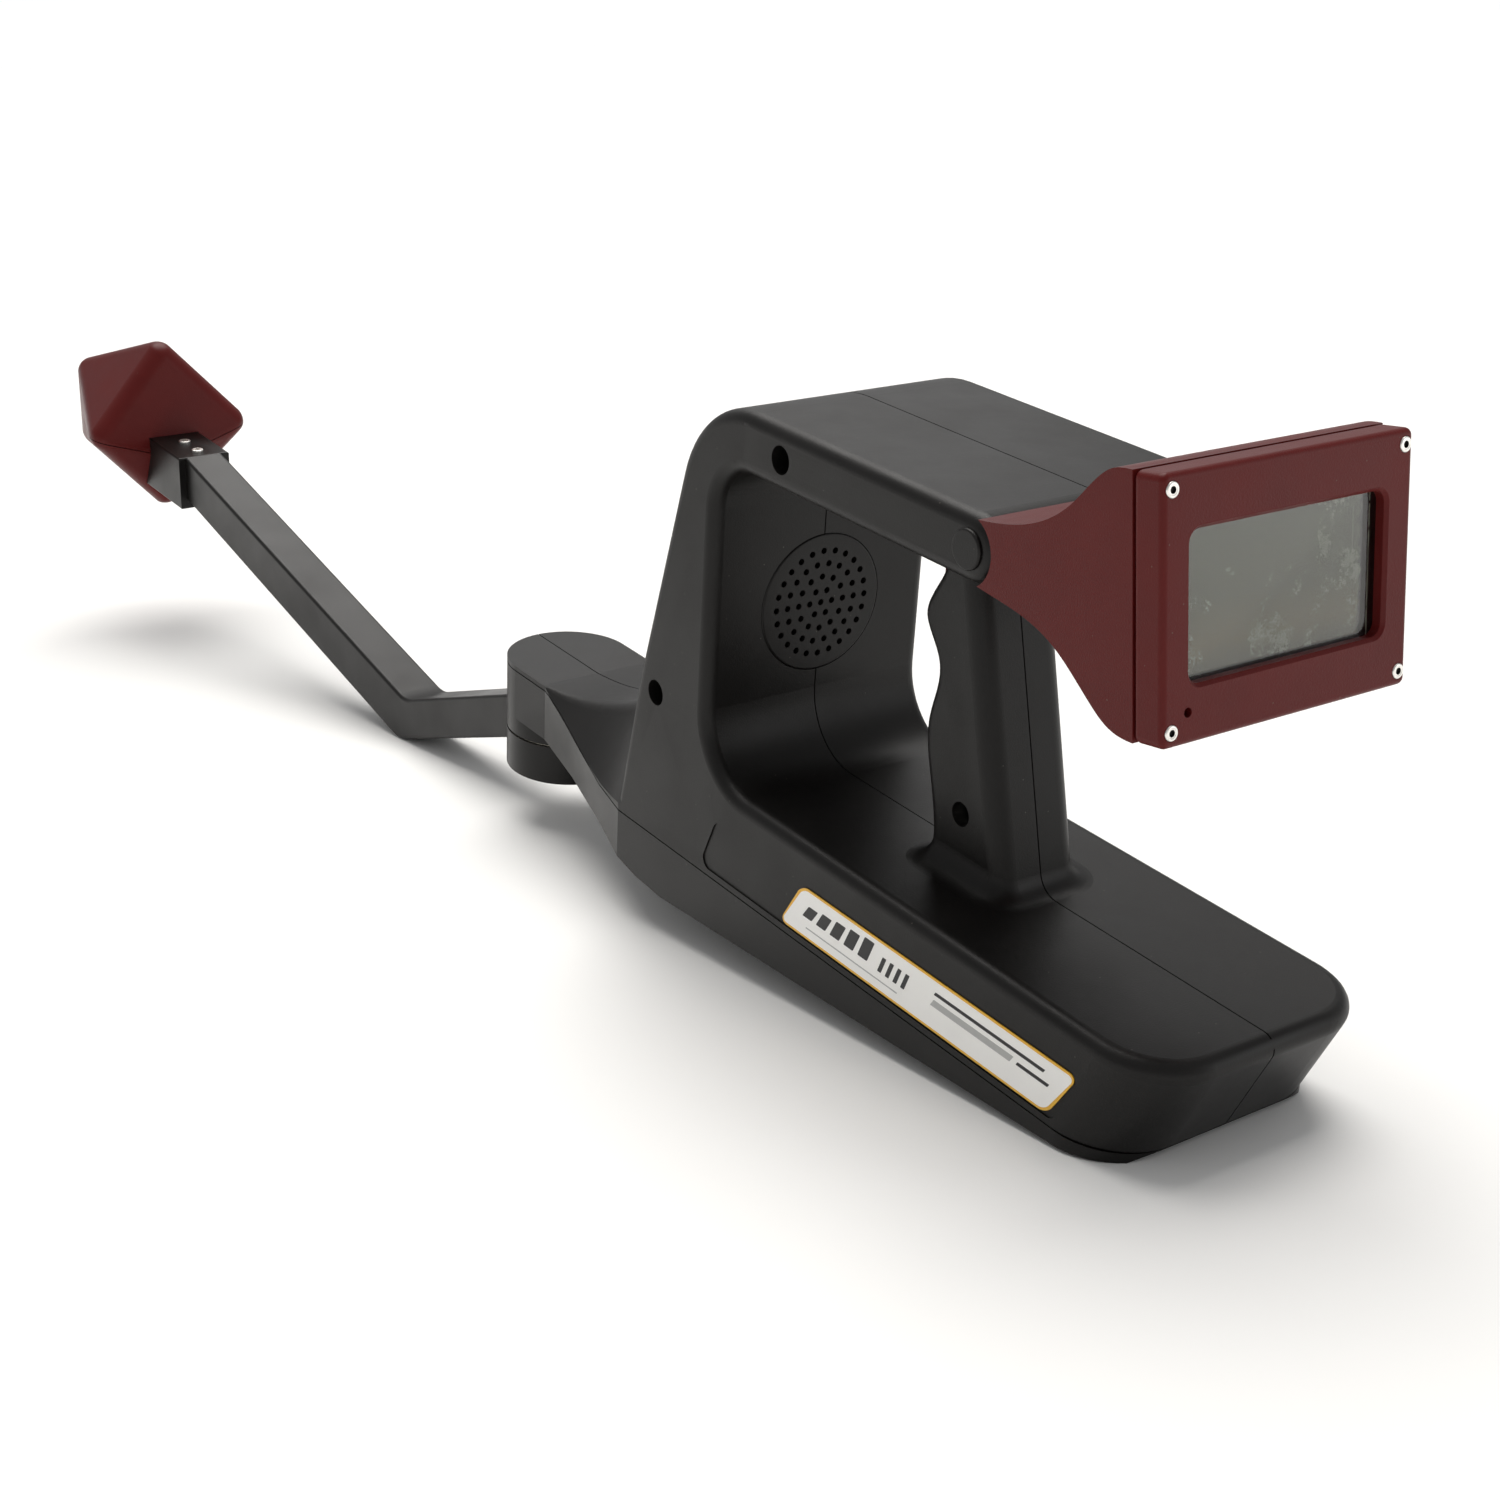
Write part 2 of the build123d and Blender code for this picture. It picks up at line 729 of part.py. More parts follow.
def display_window():
    deep = -4 - window_thickness / 2
    return on_face(0, 0, deep) * Box(window_width + 5.6, window_height + 5.6, window_thickness)


def lcd_module():
    deep = -4 - window_thickness - 3
    return on_face(0, 0, deep) * Box(84, 48, 6)


def display_board():
    board = on_face(0, 0, -12.8) * Box(86, 60, 1.6)
    chips = on_face(-18, 8, -15.1) * Box(14, 14, 3)
    plug = on_face(20, -10, -16.6) * Box(20, 6, 6)
    return board + chips + plug


def bezel_screws():
    group = []
    for x, up in head_screw_spots():
        head = on_face(x, up, -0.35) * Cylinder(2.4, 1.3)
        rim = head.edges().filter_by(GeomType.CIRCLE).sort_by(Axis.Y)[0]
        head = fillet(rim, 0.4)
        head = head - on_face(x, up, 0.3) * extrude(RegularPolygon(1.15, 6), amount=-1.1)
        group.append(head + on_face(x, up, -9.0) * Cylinder(1.5, 16.2))
    return Compound(children=group)


def pivot_bolt():
    return rod_x(pivot_radius, -half + 2, half - 2, pivot_y, pivot_z)


def pivot_caps():
    group = []
    for side in (-1, 1):
        cap = rod_x(cap_radius, half - 2, half + cap_proud, pivot_y, pivot_z)
        rim = cap.edges().filter_by(GeomType.CIRCLE).sort_by(Axis.X)[-1]
        cap = fillet(rim, 0.8)
        if side < 0:
            cap = mirror(cap, about=Plane.YZ)
        group.append(cap)
    return Compound(children=group)


def friction_washers():
    group = []
    for side in (-1, 1):
        x0 = knuckle_length / 2 + running_clearance
        washer = rod_x(knuckle_radius, x0, x0 + washer_thickness, pivot_y, pivot_z)
        washer = washer - rod_x(pivot_radius + seat_gap, x0 - 1, x0 + 3, pivot_y, pivot_z)
        if side < 0:
            washer = mirror(washer, about=Plane.YZ)
        group.append(washer)
    return Compound(children=group)


# ---- antenna arm ----
def arm_sketch(inset):
    start = boss_radius + 0.6 + inset
    root = arm_root_top - inset * 1.08 - (start - boss_radius - 0.6) * drop_slope
    top_bend = elbow_top - inset * 1.03
    low_bend = elbow_bottom + inset * 1.03
    shoulder = clamp_reach - inset * 0.4
    tip = clamp_reach + tongue_length + inset
    end_top = elbow_top + (shoulder - elbow_reach) * rise_slope - inset * 1.016
    points = [
        (boss_y + start, root),
        (boss_y + elbow_reach, top_bend),
        (boss_y + shoulder, end_top),
        (boss_y + shoulder, tongue_top - inset),
        (boss_y + tip, tongue_top - inset),
        (boss_y + tip, tongue_bottom + inset),
        (boss_y + shoulder, tongue_bottom + inset),
        (boss_y + shoulder, end_top - long_depth + 2.03 * inset),
        (boss_y + bottom_reach, low_bend),
        (boss_y + start, root - root_depth + 2.16 * inset),
    ]
    sketch = make_face(Polyline(*points, close=True))
    sketch = fillet(near(sketch, boss_y + elbow_reach, top_bend), elbow_round + inset)
    sketch = fillet(near(sketch, boss_y + bottom_reach, low_bend), elbow_round - inset)
    return sketch


def antenna_arm():
    tube = extrude(Plane.YZ * arm_sketch(0), amount=arm_width / 2, both=True)
    tube = fillet(tube.edges().filter_by(lambda e: abs(e.center().X) > arm_width / 2 - 0.1
                                         and e.length > 60), 2)
    root = box(-arm_width / 2, arm_width / 2, boss_y + 12, boss_y + boss_radius + 4, hub_bottom, hub_top)
    hub = rod_z(boss_radius, hub_bottom, hub_top, 0, boss_y)
    hollow = extrude(Plane.YZ * arm_sketch(arm_wall), amount=arm_width / 2 - arm_wall, both=True)
    duct = box(-6, 6, boss_y + 8, boss_y + boss_radius + 6, hub_bottom + 4, hub_top - 4)
    arm = tube + root + hub - hollow - duct
    arm = arm - rod_z(swivel_radius + running_clearance, hub_bottom - 1, hub_top + 1, 0, boss_y)
    arm = arm - rod_z(11.4, hub_bottom - 1, hub_bottom + 4.6, 0, boss_y)
    return arm - clamp_screw_shaft(clamp_screw_steps[0])


def swivel_washer():
    ring = rod_z(boss_radius - 1.5, boss_bottom - 1, boss_bottom, 0, boss_y)
    return ring - rod_z(swivel_radius + seat_gap, boss_bottom - 2, boss_bottom + 1, 0, boss_y)


def swivel_bolt():
    top = hub_bottom + 4.6 - running_clearance
    head = rod_z(11, hub_bottom + 0.5, top, 0, boss_y)
    return head + rod_z(swivel_radius, top, boss_bottom + 28, 0, boss_y)


def swivel_nut():
    nut = Pos(0, boss_y, 3) * extrude(RegularPolygon(8.6, 6), amount=4.5)
    return nut - rod_z(swivel_radius + seat_gap, 2, 9, 0, boss_y)


clamp_screw_steps = (9.5, 29.0)


def clamp_box(u0, u1, width, low, high):
    y = boss_y + clamp_reach
    return box(-width / 2, width / 2, y + u0, y + u1, clamp_top + low, clamp_top + high)


def clamp_screw_shaft(u):
    return rod_z(1.6 + seat_gap, clamp_top - 9, clamp_top + 3, 0, boss_y + clamp_reach + u)


def pod_clamp():
    body = clamp_box(0, clamp_length, clamp_width, -clamp_height, 0)
    edges = body.edges().filter_by(Axis.Y) + body.edges().filter_by(Axis.X).sort_by(Axis.Y)[:2]
    body = fillet(edges, 1.0)
    inside = arm_width + 2 * seat_gap
    slot = clamp_box(-1, tongue_length + seat_gap, inside, clamp_cheek - clamp_height - seat_gap,
                     seat_gap - clamp_cheek)
    body = body - slot - clamp_box(0, clamp_length + 2, 9, -20, -11)
    body = body - rod_y(6 + seat_gap, stem_start, stem_start + 60, 0, stem_z)
    for u in clamp_screw_steps:
        body = body - clamp_screw_shaft(u)
    return body


def clamp_screws():
    group = []
    for u in clamp_screw_steps:
        y = boss_y + clamp_reach + u
        head = rod_z(3.4, clamp_top, clamp_top + 1.3, 0, y)
        head = fillet(head.edges().filter_by(GeomType.CIRCLE).sort_by(Axis.Z)[-1], 0.5)
        socket = Pos(0, y, clamp_top + 0.4) * extrude(RegularPolygon(1.4, 6), amount=2)
        group.append(head - socket + rod_z(1.6, clamp_top - 8.5, clamp_top, 0, y))
    return Compound(children=group)


# ---- pod ----
pod_middle_y = boss_y + pod_reach + 44
stem_start = boss_y + clamp_reach + tongue_length + 3.2
stem_z = clamp_top - clamp_height / 2


def pod_solid(shrink):
    def point(x, y, z):
        x = x * shrink
        y = (y - 44) * shrink + pod_middle_y
        z = pod_centre_z + z * shrink
        return (x, y, z)

    w = pod_width / 2
    h = pod_height / 2
    fw = pod_front_width / 2
    fh = pod_front_height / 2
    dip = pod_parting_dip
    top = point(0, pod_rear_lean * h, h)
    bottom = point(0, pod_rear_lean * h + 8, -h)
    left = point(-w, 0, 0)
    right = point(w, 0, 0)
    rear = point(0, -pod_rear_lean * dip, -dip)
    ftl = point(-fw, pod_length, fh)
    ftr = point(fw, pod_length, fh)
    fbl = point(-fw, pod_length, -fh)
    fbr = point(fw, pod_length, -fh)
    corner_sets = [
        (rear, right, top, left), (rear, left, bottom), (rear, bottom, right),
        (top, ftl, left), (top, ftr, ftl), (top, right, ftr), (right, fbr, ftr),
        (right, bottom, fbr), (bottom, fbl, fbr), (bottom, left, fbl), (left, ftl, fbl),
        (ftl, ftr, fbr, fbl),
    ]
    faces = [make_face(Polyline(*corners, close=True)).face() for corners in corner_sets]
    return Solid(Shell(faces))


def pod_shell():
    outside = pod_solid(1.0)
    outside = fillet(outside.edges(), pod_round)
    inside = pod_solid(0.9)
    inside = fillet(inside.edges(), pod_round - pod_wall)
    clamp = clamp_box(-1, clamp_length + seat_gap, clamp_width + 2 * seat_gap,
                      -clamp_height - seat_gap, seat_gap)
    return outside - inside - clamp


def pod_parting(side):
    w = pod_width / 2
    dip = pod_centre_z - pod_parting_dip
    far = pod_centre_z + side * 120
    gap = side * seam_gap / 2
    points = [(-90, pod_centre_z + gap), (-w, pod_centre_z + gap), (0, dip + gap),
              (w, pod_centre_z + gap), (90, pod_centre_z + gap), (90, far), (-90, far)]
    face = make_face(Polyline(*points, close=True))
    return extrude(Plane.XZ.offset(-boss_y - 700) * face, amount=320)


def pod_upper_shell():
    return pod_shell() & pod_parting(1)


def pod_lower_shell():
    return pod_shell() & pod_parting(-1)


def coil(index):
    inner = coil_inner + index * coil_step
    ring = Cylinder(inner + 3, 8) - Cylinder(inner, 8)
    turns = [Rot(0, 0, 0), Rot(90, 0, 0), Rot(0, 90, 0)]
    return Pos(0, pod_middle_y, pod_centre_z) * turns[index] * ring


def antenna_coils():
    return Compound(children=[coil(0), coil(1), coil(2)])


def coil_former():
    ball = Pos(0, pod_middle_y, pod_centre_z) * Sphere(coil_inner + 2 * coil_step + 4.5)
    stem = rod_y(6, stem_start + 1, pod_middle_y - 20, 0, stem_z)
    clamp = clamp_box(-1, clamp_length + seat_gap, clamp_width, -clamp_height, 0)
    duct = rod_y(2.3, stem_start, pod_middle_y - 10, 0, stem_z)
    body = (ball - clamp) + stem - duct
    body = body - clamp_screw_shaft(clamp_screw_steps[1])
    for index in range(3):
        body = body - coil(index)
    return body


def arm_cable():
    path = FilletPolyline(
        (0, boss_y + 36, arm_root_top - 14), (0, boss_y + elbow_reach, elbow_top - 11.5),
        (0, boss_y + clamp_reach - 6, stem_z), (0, boss_y + clamp_reach + tongue_length + 16, stem_z),
        radius=20,
    )
    start = Plane(origin=path @ 0, z_dir=path % 0)
    return sweep(start * Circle(2.0), path=path)


# ---- writing ----
def settle(shape):
    return Rot(stance, 0, 0) * shape


def frame_shift(shapes):
    boxes = [shape.bounding_box() for shape in shapes]
    rear = min(b.min.Y for b in boxes)
    front = max(b.max.Y for b in boxes)
    low = min(b.min.Z for b in boxes)
    return Pos(0, -(rear + front) / 2, -low)


def write_all():
    os.makedirs("parts", exist_ok=True)
    shells = upper_shell_pair()
    nodes = {
        "left_shell": shells & box(-70, 0, -100, 420, -1, 200),
        "right_shell": shells & box(0, 70, -100, 420, -1, 200),
        "bottom_cover": bottom_cover(),
        "battery_door": battery_door(),
        "door_screws": door_screws(),
        "housing_screws": housing_screws(),
        "cover_screws": cover_screws(),
        "battery_tray": battery_tray(),
        "battery_cells": battery_cells(),
        "battery_contacts": battery_contacts(),
        "main_board": main_board(),
        "speaker_grille": speaker_grille(),
        "speaker": speaker(),
        "side_label": side_label(),
        "hull_cable": hull_cable(),
        "trigger": trigger(),
        "trigger_pin": trigger_pin(),
        "trigger_switch": trigger_switch(),
        "trigger_spring": trigger_spring(),
        "display_housing": head_body(),
        "display_bezel": display_bezel(),
        "display_window": display_window(),
        "lcd_module": lcd_module(),
        "display_board": display_board(),
        "bezel_screws": bezel_screws(),
        "pivot_bolt": pivot_bolt(),
        "pivot_caps": pivot_caps(),
        "friction_washers": friction_washers(),
        "antenna_arm": antenna_arm(),
        "arm_cable": arm_cable(),
        "swivel_washer": swivel_washer(),
        "swivel_bolt": swivel_bolt(),
        "swivel_nut": swivel_nut(),
        "pod_clamp": pod_clamp(),
        "clamp_screws": clamp_screws(),
        "pod_upper_shell": pod_upper_shell(),
        "pod_lower_shell": pod_lower_shell(),
        "coil_former": coil_former(),
        "antenna_coils": antenna_coils(),
    }
    settled = {name: settle(shape) for name, shape in nodes.items()}
    shift = frame_shift(settled.values())
    for name, shape in settled.items():
        export_step(shift * shape, "parts/" + name + ".step")


write_all()
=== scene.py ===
import json
import math

import bmesh
import bpy
from mathutils import Matrix, Vector


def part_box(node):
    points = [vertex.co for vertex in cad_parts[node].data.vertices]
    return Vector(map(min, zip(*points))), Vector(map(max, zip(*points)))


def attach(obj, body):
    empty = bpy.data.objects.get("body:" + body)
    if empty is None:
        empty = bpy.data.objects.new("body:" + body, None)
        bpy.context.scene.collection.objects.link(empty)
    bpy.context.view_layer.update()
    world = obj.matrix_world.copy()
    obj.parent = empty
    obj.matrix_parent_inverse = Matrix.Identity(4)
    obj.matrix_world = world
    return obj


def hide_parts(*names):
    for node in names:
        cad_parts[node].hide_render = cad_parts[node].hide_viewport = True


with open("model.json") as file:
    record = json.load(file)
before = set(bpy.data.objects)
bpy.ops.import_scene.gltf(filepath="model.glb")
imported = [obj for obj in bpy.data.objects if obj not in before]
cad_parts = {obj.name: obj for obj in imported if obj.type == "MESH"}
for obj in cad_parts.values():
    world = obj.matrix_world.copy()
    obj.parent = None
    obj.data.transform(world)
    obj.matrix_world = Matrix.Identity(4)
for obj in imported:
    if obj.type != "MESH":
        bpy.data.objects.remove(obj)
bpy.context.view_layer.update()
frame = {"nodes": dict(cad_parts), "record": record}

MM = 0.001
STANCE = math.radians(8.503)     # the hull's lean, nose up, where it lies on a bench
HEAD_LEAN = math.radians(1.297)  # the display face's lean from upright
HULL_FORWARD = Vector((0.0, math.cos(STANCE), math.sin(STANCE)))
HULL_UP = Vector((0.0, -math.sin(STANCE), math.cos(STANCE)))
FACE_OUT = Vector((0.0, -math.cos(HEAD_LEAN), math.sin(HEAD_LEAN)))
FACE_UP = Vector((0.0, math.sin(HEAD_LEAN), math.cos(HEAD_LEAN)))

# A Mix node has several sockets named A and B, so its colour ones are taken by their place.
MIX_FACTOR, MIX_FIRST, MIX_SECOND, MIX_RESULT = 0, 6, 7, 2


# ---- colours and nodes ----

def srgb(code):
    """An sRGB hex colour as linear numbers."""
    parts = [int(code[i:i + 2], 16) / 255 for i in (1, 3, 5)]
    line = [c / 12.92 if c <= 0.04045 else ((c + 0.055) / 1.055) ** 2.4 for c in parts]
    return (*line, 1.0)


def add_node(tree, kind, settings=None, links=None):
    """Adds a node. settings are its own properties and inputs, links say what feeds its inputs."""
    node = tree.nodes.new(kind)
    for key, value in (settings or {}).items():
        if isinstance(key, str) and hasattr(node, key):
            setattr(node, key, value)
        else:
            node.inputs[key].default_value = value
    for key, source in (links or {}).items():
        tree.links.new(source, node.inputs[key])
    return node


def new_material(name):
    """A material with its shader on its output, and the object's own coordinates."""
    material = bpy.data.materials.new(name)
    material.use_nodes = True
    tree = material.node_tree
    tree.nodes.clear()
    shader = add_node(tree, "ShaderNodeBsdfPrincipled")
    add_node(tree, "ShaderNodeOutputMaterial", {}, {"Surface": shader.outputs["BSDF"]})
    coords = add_node(tree, "ShaderNodeTexCoord").outputs["Object"]
    return material, tree, shader, coords


def moulded_abs(name, dark, light, roughness, grain, depth, sheen):
    """Injection-moulded ABS from a spark-eroded tool: a fine even grain, slightly uneven gloss,
    a little dust, and edges that handling has polished. grain and depth are in mm."""
    material, tree, shader, coords = new_material(name)
    shader.inputs["IOR"].default_value = 1.53
    shader.inputs["Specular IOR Level"].default_value = sheen

    # The plastic's tint and gloss drift in patches about 26 mm wide.
    cloud = add_node(tree, "ShaderNodeTexNoise",
                     {"Scale": 1.0 / (26.316 * MM), "Detail": 4.0, "Roughness": 0.55},
                     {"Vector": coords})
    tint = add_node(tree, "ShaderNodeMix",
                    {"data_type": "RGBA", MIX_FIRST: srgb(dark), MIX_SECOND: srgb(light)},
                    {MIX_FACTOR: cloud.outputs["Fac"]})

    # Dust: one speck in each 6.7 mm, solid to 0.3 mm across and faded out at 0.7 mm.
    specks = add_node(tree, "ShaderNodeTexVoronoi",
                      {"Scale": 1.0 / (6.6667 * MM), "Randomness": 1.0}, {"Vector": coords})
    speck_mask = add_node(tree, "ShaderNodeMapRange",
                          {"From Min": 0.05, "From Max": 0.02, "To Max": 0.35},
                          {"Value": specks.outputs["Distance"]})
    dusty = add_node(tree, "ShaderNodeMix", {"data_type": "RGBA", MIX_SECOND: srgb("#6f6a62")},
                     {MIX_FACTOR: speck_mask.outputs["Result"],
                      MIX_FIRST: tint.outputs[MIX_RESULT]})
    tree.links.new(dusty.outputs[MIX_RESULT], shader.inputs["Base Color"])

    # Sharp edges are glossier, as hands rub them smooth.
    edges = add_node(tree, "ShaderNodeNewGeometry")
    worn = add_node(tree, "ShaderNodeMapRange",
                    {"From Min": 0.52, "From Max": 0.6, "To Min": 0.0, "To Max": -0.1},
                    {"Value": edges.outputs["Pointiness"]})
    gloss = add_node(tree, "ShaderNodeMapRange",
                     {"From Min": 0.3, "From Max": 0.7,
                      "To Min": roughness - 0.04, "To Max": roughness + 0.05},
                     {"Value": cloud.outputs["Fac"]})
    total = add_node(tree, "ShaderNodeMath", {"operation": "ADD"},
                     {0: gloss.outputs["Result"], 1: worn.outputs["Result"]})
    tree.links.new(total.outputs[0], shader.inputs["Roughness"])

    # The real grain is about 0.2 mm, drawn coarser here so that it shows.
    pits = add_node(tree, "ShaderNodeTexNoise",
                    {"Scale": 1.0 / (grain * MM), "Detail": 2.0, "Roughness": 0.6},
                    {"Vector": coords})
    bump = add_node(tree, "ShaderNodeBump", {"Strength": 1.0, "Distance": depth * MM},
                    {"Height": pits.outputs["Fac"]})
    tree.links.new(bump.outputs["Normal"], shader.inputs["Normal"])
    return material


def zinc_steel(name, tone, roughness):
    """Turned steel with bright zinc plating: light grey metal, mottled like faint tool marks."""
    material, tree, shader, coords = new_material(name)
    shader.inputs["Metallic"].default_value = 1.0
    # Real marks are about 0.1 mm apart. These are 1.1 mm, so that they show.
    marks = add_node(tree, "ShaderNodeTexNoise",
                     {"Scale": 1.0 / (1.1111 * MM), "Detail": 3.0}, {"Vector": coords})
    tint = add_node(tree, "ShaderNodeMix",
                    {"data_type": "RGBA", MIX_FIRST: srgb(tone), MIX_SECOND: srgb("#f0eee9")},
                    {MIX_FACTOR: marks.outputs["Fac"]})
    tree.links.new(tint.outputs[MIX_RESULT], shader.inputs["Base Color"])
    gloss = add_node(tree, "ShaderNodeMapRange",
                     {"To Min": roughness, "To Max": roughness + 0.15},
                     {"Value": marks.outputs["Fac"]})
    tree.links.new(gloss.outputs["Result"], shader.inputs["Roughness"])
    return material


def clear_window(name):
    """Clear moulded polycarbonate: see-through and glossy, with a few wiping marks."""
    material, tree, shader, coords = new_material(name)
    shader.inputs["Base Color"].default_value = srgb("#f4f6f0")
    shader.inputs["IOR"].default_value = 1.585
    shader.inputs["Specular IOR Level"].default_value = 0.12
    shader.inputs["Transmission Weight"].default_value = 1.0
    # Wiping leaves duller patches about a fingertip, 17 mm, wide.
    wipes = add_node(tree, "ShaderNodeTexNoise",
                     {"Scale": 1.0 / (16.667 * MM), "Detail": 5.0}, {"Vector": coords})
    gloss = add_node(tree, "ShaderNodeMapRange",
                     {"From Min": 0.45, "From Max": 0.75, "To Min": 0.01, "To Max": 0.05},
                     {"Value": wipes.outputs["Fac"]})
    tree.links.new(gloss.outputs["Result"], shader.inputs["Roughness"])
    return material


def lcd_glass(name):
    """Reflective liquid-crystal glass: grey-green, warmer low down, with flecks of dried moisture,
    a painted shadow in a black band round its right, low and top sides where the cell meets the
    window's walls, and a painted highlight along the glass's edge at its right and top."""
    material, tree, shader, coords = new_material(name)
    shader.inputs["IOR"].default_value = 1.52
    shader.inputs["Roughness"].default_value = 0.6
    shader.inputs["Specular IOR Level"].default_value = 0.0
    low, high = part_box("lcd_module")
    centre = (low.z + high.z) / 2

    axes = add_node(tree, "ShaderNodeSeparateXYZ", {}, {0: coords})
    across = axes.outputs["X"]
    rise = axes.outputs["Z"]
    # Flecks are 1.1 mm specks that gather in patches 10.5 mm wide. The painted shadow's rim at the
    # right is ragged in teeth of 2.4 mm.
    dots = add_node(tree, "ShaderNodeTexNoise",
                    {"Scale": 1.0 / (1.1111 * MM), "Detail": 6.0, "Roughness": 0.75},
                    {"Vector": coords})
    patches = add_node(tree, "ShaderNodeTexNoise",
                       {"Scale": 1.0 / (10.526 * MM), "Detail": 3.0}, {"Vector": coords})
    ragged = add_node(tree, "ShaderNodeTexNoise",
                      {"Scale": 1.0 / (2.381 * MM), "Detail": 3.0}, {"Vector": coords})
    teeth = add_node(tree, "ShaderNodeMath", {"operation": "MULTIPLY", 1: 4 * MM},
                     {0: ragged.outputs["Fac"]})
    wobble = add_node(tree, "ShaderNodeMath", {"operation": "ADD"},
                      {0: across, 1: teeth.outputs[0]})

    # Each mask goes from 0 at its first value to 1 at its second.
    masks = {}
    for mask, source, start, end in (
            ("height", rise, centre - 22 * MM, centre + 22 * MM),
            ("towards_right", across, -45 * MM, 60 * MM),
            ("towards_low", rise, centre + 30 * MM, centre - 60 * MM),
            ("right_painted_shadow", wobble.outputs[0], 35.6 * MM, 37.0 * MM),
            ("low_painted_shadow", rise, centre - 20.6 * MM, centre - 21.2 * MM),
            ("top_painted_shadow", rise, centre + 20.9 * MM, centre + 21.2 * MM),
            ("right_edge_start", across, 37.9 * MM, 38.0 * MM),
            ("right_edge_end", across, 38.5 * MM, 38.4 * MM),
            ("top_edge_start", rise, centre + 21.3 * MM, centre + 21.4 * MM),
            ("top_edge_end", rise, centre + 21.9 * MM, centre + 21.8 * MM),
            ("chipped", ragged.outputs["Fac"], 0.3, 0.42)):
        masks[mask] = add_node(tree, "ShaderNodeMapRange", {"From Min": start, "From Max": end},
                               {"Value": source}).outputs["Result"]

    ramp = add_node(tree, "ShaderNodeValToRGB", {}, {"Fac": masks["height"]})
    stops = ramp.color_ramp.elements
    stops[0].color = srgb("#40402c")
    stops[1].color = srgb("#474b39")
    stops.new(0.2).color = srgb("#5a4f2b")
    stops.new(0.5).color = srgb("#484a35")

    # More flecks lie towards the right and low down, where the damp dried last.
    shares = add_node(tree, "ShaderNodeMath", {"operation": "ADD"},
                      {0: masks["towards_right"], 1: masks["towards_low"]})
    damp = add_node(tree, "ShaderNodeMath", {"operation": "MULTIPLY", 1: 0.16},
                    {0: shares.outputs[0]})
    speckle = add_node(tree, "ShaderNodeMath", {"operation": "ADD"},
                       {0: dots.outputs["Fac"], 1: patches.outputs["Fac"]})
    density = add_node(tree, "ShaderNodeMath", {"operation": "ADD"},
                       {0: speckle.outputs[0], 1: damp.outputs[0]})
    fleck_mask = add_node(tree, "ShaderNodeMapRange", {"From Min": 1.24, "From Max": 1.32},
                          {"Value": density.outputs[0]})
    flecks = add_node(tree, "ShaderNodeMix", {"data_type": "RGBA", MIX_SECOND: srgb("#7a8071")},
                      {MIX_FACTOR: fleck_mask.outputs["Result"],
                       MIX_FIRST: ramp.outputs["Color"]})

    # The black band at the right, bottom and top is painted shadow in the gap between the cell and
    # the window's walls.
    sides = add_node(tree, "ShaderNodeMath", {"operation": "MAXIMUM"},
                     {0: masks["right_painted_shadow"], 1: masks["low_painted_shadow"]})
    painted_shadow = add_node(tree, "ShaderNodeMath", {"operation": "MAXIMUM"},
                        {0: sides.outputs[0], 1: masks["top_painted_shadow"]})
    dark = add_node(tree, "ShaderNodeMix", {"data_type": "RGBA", MIX_SECOND: srgb("#0b0c0e")},
                    {MIX_FACTOR: painted_shadow.outputs[0], MIX_FIRST: flecks.outputs[MIX_RESULT]})

    # The light grey lines along the glass's right and top edges are a painted highlight, broken up
    # by ragged noise.
    right_edge = add_node(tree, "ShaderNodeMath", {"operation": "MULTIPLY"},
                          {0: masks["right_edge_start"], 1: masks["right_edge_end"]})
    top_edge = add_node(tree, "ShaderNodeMath", {"operation": "MULTIPLY"},
                        {0: masks["top_edge_start"], 1: masks["top_edge_end"]})
    both_edges = add_node(tree, "ShaderNodeMath", {"operation": "MAXIMUM"},
                          {0: right_edge.outputs[0], 1: top_edge.outputs[0]})
    painted_edge_highlight = add_node(tree, "ShaderNodeMath", {"operation": "MULTIPLY"},
                   {0: both_edges.outputs[0], 1: masks["chipped"]})
    glass = add_node(tree, "ShaderNodeMix", {"data_type": "RGBA", MIX_SECOND: srgb("#a9aca4")},
                     {MIX_FACTOR: painted_edge_highlight.outputs[0], MIX_FIRST: dark.outputs[MIX_RESULT]})
    tree.links.new(glass.outputs[MIX_RESULT], shader.inputs["Base Color"])
    return material


def plain(name, tone, other, roughness, patch, metallic=0.0):
    """A small piece's own colour, mottled in patches of the given size in mm, with an even
    gloss."""
    material, tree, shader, coords = new_material(name)
    shader.inputs["Metallic"].default_value = metallic
    shader.inputs["Roughness"].default_value = roughness
    cloud = add_node(tree, "ShaderNodeTexNoise", {"Scale": 1.0 / (patch * MM), "Detail": 4.0},
                     {"Vector": coords})
    tint = add_node(tree, "ShaderNodeMix",
                    {"data_type": "RGBA", MIX_FIRST: srgb(tone), MIX_SECOND: srgb(other)},
                    {MIX_FACTOR: cloud.outputs["Fac"]})
    tree.links.new(tint.outputs[MIX_RESULT], shader.inputs["Base Color"])
    return material


# The body's plastic: near black, satin, with a fine grain.
black_abs = moulded_abs("moulded_black_abs", dark="#0b0a09", light="#151312", roughness=0.42,
                        grain=0.55, depth=0.05, sheen=0.22)
# The head's and the pod's plastic: deep maroon, with a slightly deeper grain.
maroon_abs = moulded_abs("moulded_maroon_abs", dark="#4f1110", light="#5d1a18", roughness=0.40,
                         grain=0.6, depth=0.09, sheen=0.14)
# Plated screw heads: the brightest metal on the outside.
screw_zinc = zinc_steel("bright_zinc_screws", "#dddbd6", 0.25)
